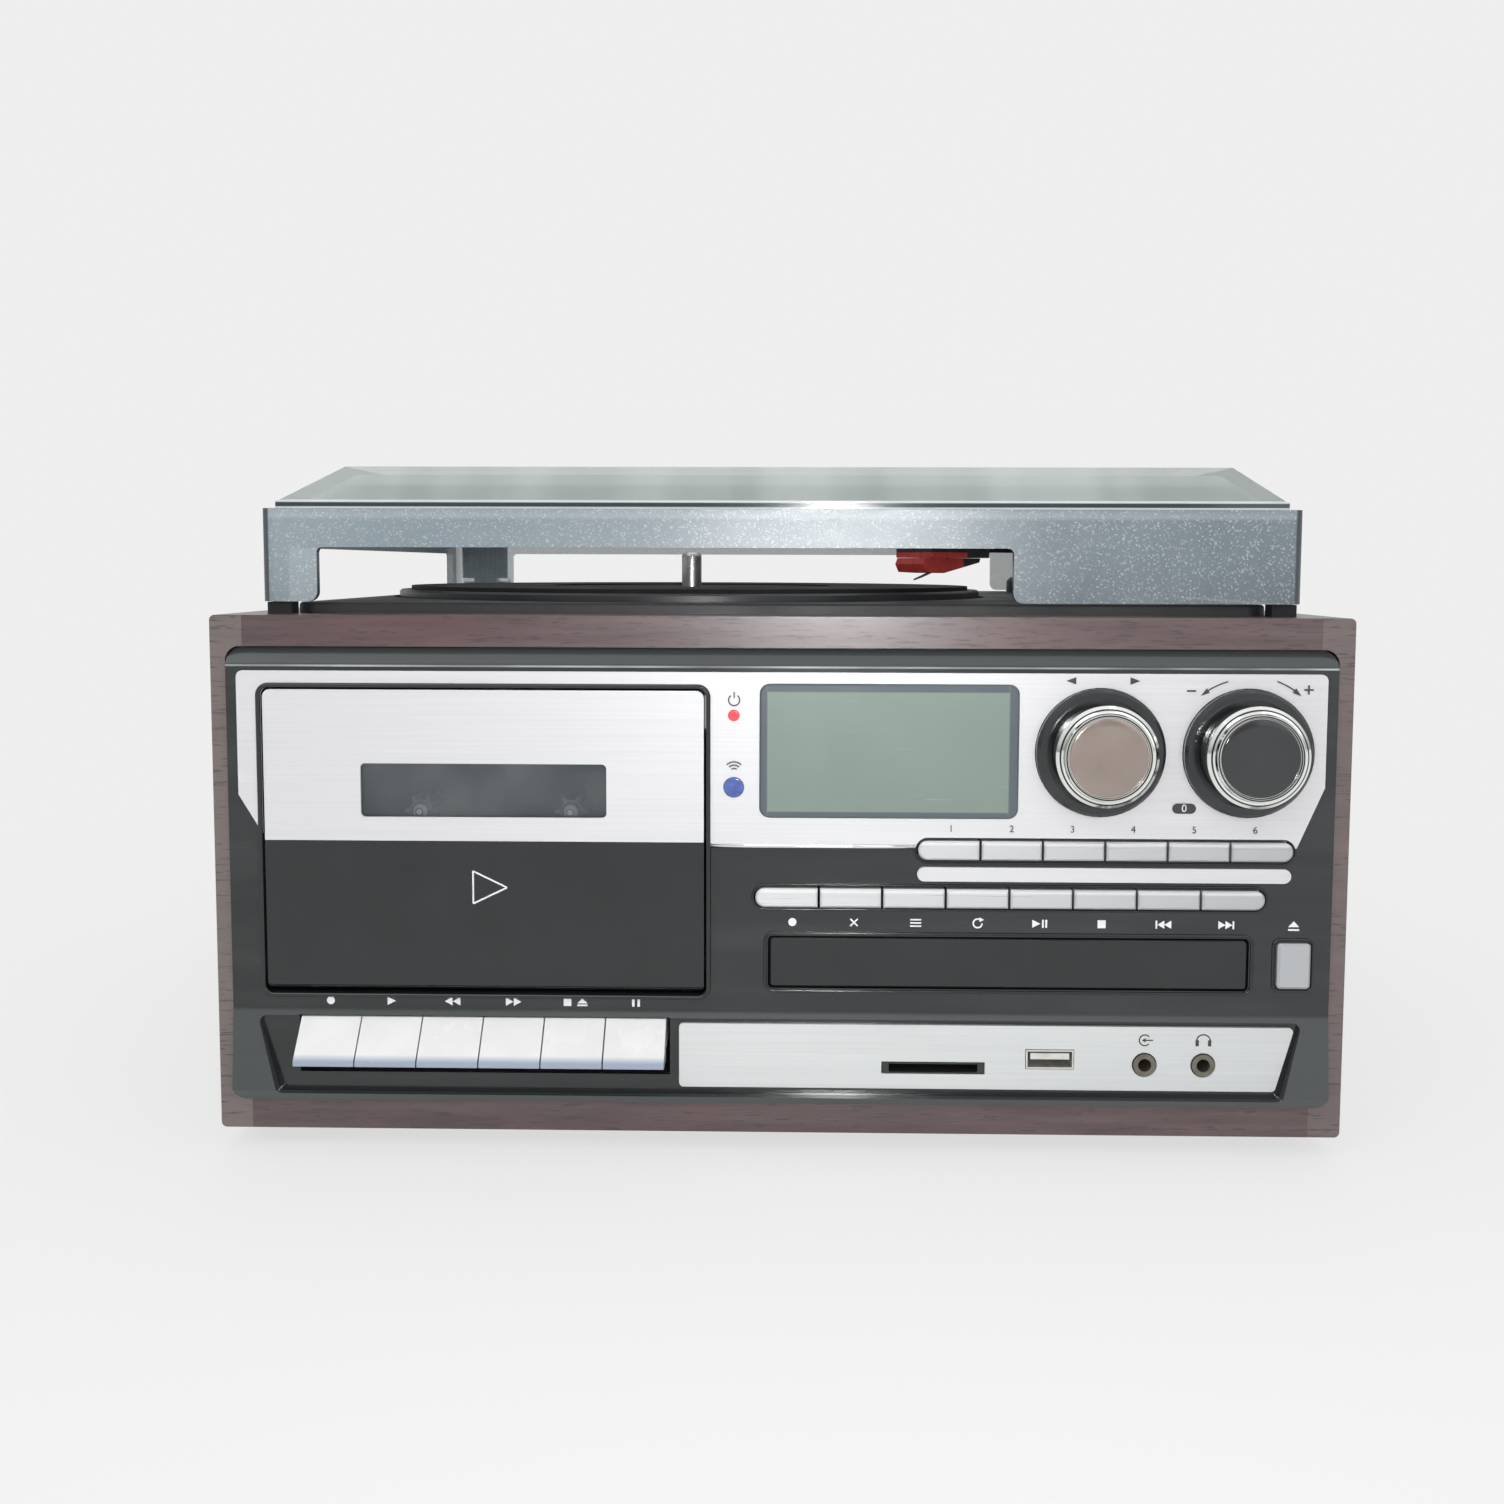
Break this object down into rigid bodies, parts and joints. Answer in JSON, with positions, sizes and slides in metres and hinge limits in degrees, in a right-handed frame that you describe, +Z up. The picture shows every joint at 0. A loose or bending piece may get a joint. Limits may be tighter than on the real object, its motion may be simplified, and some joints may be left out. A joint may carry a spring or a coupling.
{
  "type": "stereo music centre",
  "caption": "Wooden-cased stereo music centre: turntable under a hinged smoked cover, cassette deck, disc drawer, radio display and dials on the front.",
  "frame": {"origin": "floor level under the middle of the whole object's bounding box", "axes": "+X to the right as seen from the front, +Y from the front to the back, +Z up"},
  "size_m": [0.31, 0.2816, 0.191],
  "materials": {
    "veneer": "satin dark mahogany veneer",
    "black_plastic": "gloss",
    "black_matt": "matt",
    "silver_plate": "satin silver",
    "silver_button": "satin silver lacquer",
    "white_key": "gloss",
    "chrome": "polished",
    "display": "gloss",
    "red_blue_lens": "gloss",
    "smoked_clear": "clear",
    "smoked_window": "clear",
    "rubber": "matt",
    "board": "matt",
    "steel": "bare",
    "platter_metal": "painted",
    "fibreboard": "painted"
  },
  "bodies": {
    "cabinet": {"cabinet": "veneer", "back_panel": "fibreboard", "screws": "steel", "feet": "rubber", "front_panel": "black_plastic", "upper_plate": "silver_plate", "lower_plate": "silver_plate", "display_glass": "display", "indicator_lenses": "red_blue_lens", "control_board": "board", "cassette_frame": "black_matt", "disc_mechanism": "black_matt", "front_sockets": "black_matt", "main_board": "board", "rear_sockets": "black_matt", "deck_plate": "black_matt", "platter_motor": "steel", "drive_belt": "rubber", "hinge_brackets": "steel"},
    "cover": {"dust_cover": "smoked_clear", "hinge_leaves": "steel"},
    "platter": {"platter": "platter_metal", "platter_mat": "rubber", "spindle": "steel"},
    "motor_pulley": {"motor_pulley": "steel"},
    "arm_turret": {"arm_turret": "black_matt"},
    "tonearm": {"tonearm": "black_matt", "cartridge": "black_matt"},
    "cue_lever": {"cue_lever": "black_matt"},
    "speed_selector": {"speed_selector": "black_matt"},
    "cassette_door": {"cassette_door": "black_plastic", "door_plate": "silver_plate", "door_window": "smoked_window"},
    "reel_left": {"reel_hub_left": "black_matt"},
    "reel_right": {"reel_hub_right": "black_matt"},
    "capstan": {"capstan": "steel"},
    "disc_drawer": {"disc_drawer": "black_plastic"},
    "tuning_knob": {"tuning_knob": "chrome"},
    "volume_knob": {"volume_knob": "chrome"},
    "function_button_1": {"function_button_1": "silver_button"},
    "function_button_2": {"function_button_2": "silver_button"},
    "function_button_3": {"function_button_3": "silver_button"},
    "function_button_4": {"function_button_4": "silver_button"},
    "function_button_5": {"function_button_5": "silver_button"},
    "function_button_6": {"function_button_6": "silver_button"},
    "disc_button_1": {"disc_button_1": "silver_button"},
    "disc_button_2": {"disc_button_2": "silver_button"},
    "disc_button_3": {"disc_button_3": "silver_button"},
    "disc_button_4": {"disc_button_4": "silver_button"},
    "disc_button_5": {"disc_button_5": "silver_button"},
    "disc_button_6": {"disc_button_6": "silver_button"},
    "disc_button_7": {"disc_button_7": "silver_button"},
    "disc_button_8": {"disc_button_8": "silver_button"},
    "open_button": {"open_button": "silver_button"},
    "key_record": {"key_record": "white_key"},
    "key_play": {"key_play": "white_key"},
    "key_rewind": {"key_rewind": "white_key"},
    "key_forward": {"key_forward": "white_key"},
    "key_stop": {"key_stop": "white_key"},
    "key_pause": {"key_pause": "white_key"}
  },
  "joints": [
    {"name": "cover_hinge", "type": "hinge", "parent": "cabinet", "child": "cover", "pos_m": [0.132, 0.137, 0.153], "axis": [-1, 0, 0], "range_deg": [0, 75]},
    {"name": "platter_spin", "type": "hinge", "parent": "cabinet", "child": "platter", "pos_m": [-0.032, 0.008, 0.15], "axis": [0, 0, -1], "continuous": true},
    {"name": "pulley_spin", "type": "hinge", "parent": "cabinet", "child": "motor_pulley", "pos_m": [-0.09, -0.044, 0.145], "axis": [0, 0, -1], "continuous": true},
    {"name": "arm_swing", "type": "hinge", "parent": "cabinet", "child": "arm_turret", "pos_m": [0.105, 0.08, 0.155], "axis": [0, 0, 1], "range_deg": [-18.5, 24]},
    {"name": "arm_lift", "type": "hinge", "parent": "arm_turret", "child": "tonearm", "pos_m": [0.105, 0.08, 0.1705], "axis": [-0.9225, 0.3859, 0], "range_deg": [0, 4.5]},
    {"name": "cue_lever_tilt", "type": "hinge", "parent": "cabinet", "child": "cue_lever", "pos_m": [0.125, 0.046, 0.157], "axis": [-1, 0, 0], "range_deg": [0, 20]},
    {"name": "speed_slide", "type": "slide", "parent": "cabinet", "child": "speed_selector", "axis": [1, 0, 0], "range_m": [-0.006, 0.006]},
    {"name": "door_hinge", "type": "hinge", "parent": "cabinet", "child": "cassette_door", "pos_m": [-0.08025, -0.1258, 0.0486], "axis": [1, 0, 0], "range_deg": [0, 25]},
    {"name": "reel_left_spin", "type": "hinge", "parent": "cabinet", "child": "reel_left", "pos_m": [-0.10075, -0.105, 0.0935], "axis": [0, 1, 0], "continuous": true},
    {"name": "reel_right_spin", "type": "hinge", "parent": "cabinet", "child": "reel_right", "pos_m": [-0.05825, -0.105, 0.0935], "axis": [0, 1, 0], "continuous": true},
    {"name": "capstan_spin", "type": "hinge", "parent": "cabinet", "child": "capstan", "pos_m": [-0.0625, -0.1, 0.0645], "axis": [0, 1, 0], "continuous": true},
    {"name": "drawer_slide", "type": "slide", "parent": "cabinet", "child": "disc_drawer", "axis": [0, -1, 0], "range_m": [0, 0.125]},
    {"name": "tuning_turn", "type": "hinge", "parent": "cabinet", "child": "tuning_knob", "pos_m": [0.0868, -0.13, 0.1127], "axis": [0, 1, 0], "continuous": true},
    {"name": "volume_turn", "type": "hinge", "parent": "cabinet", "child": "volume_knob", "pos_m": [0.1264, -0.13, 0.1127], "axis": [0, 1, 0], "range_deg": [0, 300]},
    {"name": "function_button_1_press", "type": "slide", "parent": "cabinet", "child": "function_button_1", "axis": [0, 1, 0], "range_m": [0, 0.0008], "stiffness_N_per_m": 1500},
    {"name": "function_button_2_press", "type": "slide", "parent": "cabinet", "child": "function_button_2", "axis": [0, 1, 0], "range_m": [0, 0.0008], "stiffness_N_per_m": 1500},
    {"name": "function_button_3_press", "type": "slide", "parent": "cabinet", "child": "function_button_3", "axis": [0, 1, 0], "range_m": [0, 0.0008], "stiffness_N_per_m": 1500},
    {"name": "function_button_4_press", "type": "slide", "parent": "cabinet", "child": "function_button_4", "axis": [0, 1, 0], "range_m": [0, 0.0008], "stiffness_N_per_m": 1500},
    {"name": "function_button_5_press", "type": "slide", "parent": "cabinet", "child": "function_button_5", "axis": [0, 1, 0], "range_m": [0, 0.0008], "stiffness_N_per_m": 1500},
    {"name": "function_button_6_press", "type": "slide", "parent": "cabinet", "child": "function_button_6", "axis": [0, 1, 0], "range_m": [0, 0.0008], "stiffness_N_per_m": 1500},
    {"name": "disc_button_1_press", "type": "slide", "parent": "cabinet", "child": "disc_button_1", "axis": [0, 1, 0], "range_m": [0, 0.0008], "stiffness_N_per_m": 1500},
    {"name": "disc_button_2_press", "type": "slide", "parent": "cabinet", "child": "disc_button_2", "axis": [0, 1, 0], "range_m": [0, 0.0008], "stiffness_N_per_m": 1500},
    {"name": "disc_button_3_press", "type": "slide", "parent": "cabinet", "child": "disc_button_3", "axis": [0, 1, 0], "range_m": [0, 0.0008], "stiffness_N_per_m": 1500},
    {"name": "disc_button_4_press", "type": "slide", "parent": "cabinet", "child": "disc_button_4", "axis": [0, 1, 0], "range_m": [0, 0.0008], "stiffness_N_per_m": 1500},
    {"name": "disc_button_5_press", "type": "slide", "parent": "cabinet", "child": "disc_button_5", "axis": [0, 1, 0], "range_m": [0, 0.0008], "stiffness_N_per_m": 1500},
    {"name": "disc_button_6_press", "type": "slide", "parent": "cabinet", "child": "disc_button_6", "axis": [0, 1, 0], "range_m": [0, 0.0008], "stiffness_N_per_m": 1500},
    {"name": "disc_button_7_press", "type": "slide", "parent": "cabinet", "child": "disc_button_7", "axis": [0, 1, 0], "range_m": [0, 0.0008], "stiffness_N_per_m": 1500},
    {"name": "disc_button_8_press", "type": "slide", "parent": "cabinet", "child": "disc_button_8", "axis": [0, 1, 0], "range_m": [0, 0.0008], "stiffness_N_per_m": 1500},
    {"name": "open_button_press", "type": "slide", "parent": "cabinet", "child": "open_button", "axis": [0, 1, 0], "range_m": [0, 0.0008], "stiffness_N_per_m": 1500},
    {"name": "key_record_press", "type": "hinge", "parent": "cabinet", "child": "key_record", "pos_m": [-0.12335, -0.1, 0.0325], "axis": [1, 0, 0], "range_deg": [0, 7], "stiffness_Nm_per_rad": 0.8},
    {"name": "key_play_press", "type": "hinge", "parent": "cabinet", "child": "key_play", "pos_m": [-0.10645, -0.1, 0.0325], "axis": [1, 0, 0], "range_deg": [0, 7], "stiffness_Nm_per_rad": 0.8},
    {"name": "key_rewind_press", "type": "hinge", "parent": "cabinet", "child": "key_rewind", "pos_m": [-0.08955, -0.1, 0.0325], "axis": [1, 0, 0], "range_deg": [0, 7], "stiffness_Nm_per_rad": 0.8},
    {"name": "key_forward_press", "type": "hinge", "parent": "cabinet", "child": "key_forward", "pos_m": [-0.07265, -0.1, 0.0325], "axis": [1, 0, 0], "range_deg": [0, 7], "stiffness_Nm_per_rad": 0.8},
    {"name": "key_stop_press", "type": "hinge", "parent": "cabinet", "child": "key_stop", "pos_m": [-0.05575, -0.1, 0.0325], "axis": [1, 0, 0], "range_deg": [0, 7], "stiffness_Nm_per_rad": 0.8},
    {"name": "key_pause_press", "type": "hinge", "parent": "cabinet", "child": "key_pause", "pos_m": [-0.03885, -0.1, 0.0325], "axis": [1, 0, 0], "range_deg": [0, 7], "stiffness_Nm_per_rad": 0.8}
  ],
  "couplings": [
    {"joint": "pulley_spin", "follows": "platter_spin", "ratio": 11.2}
  ]
}
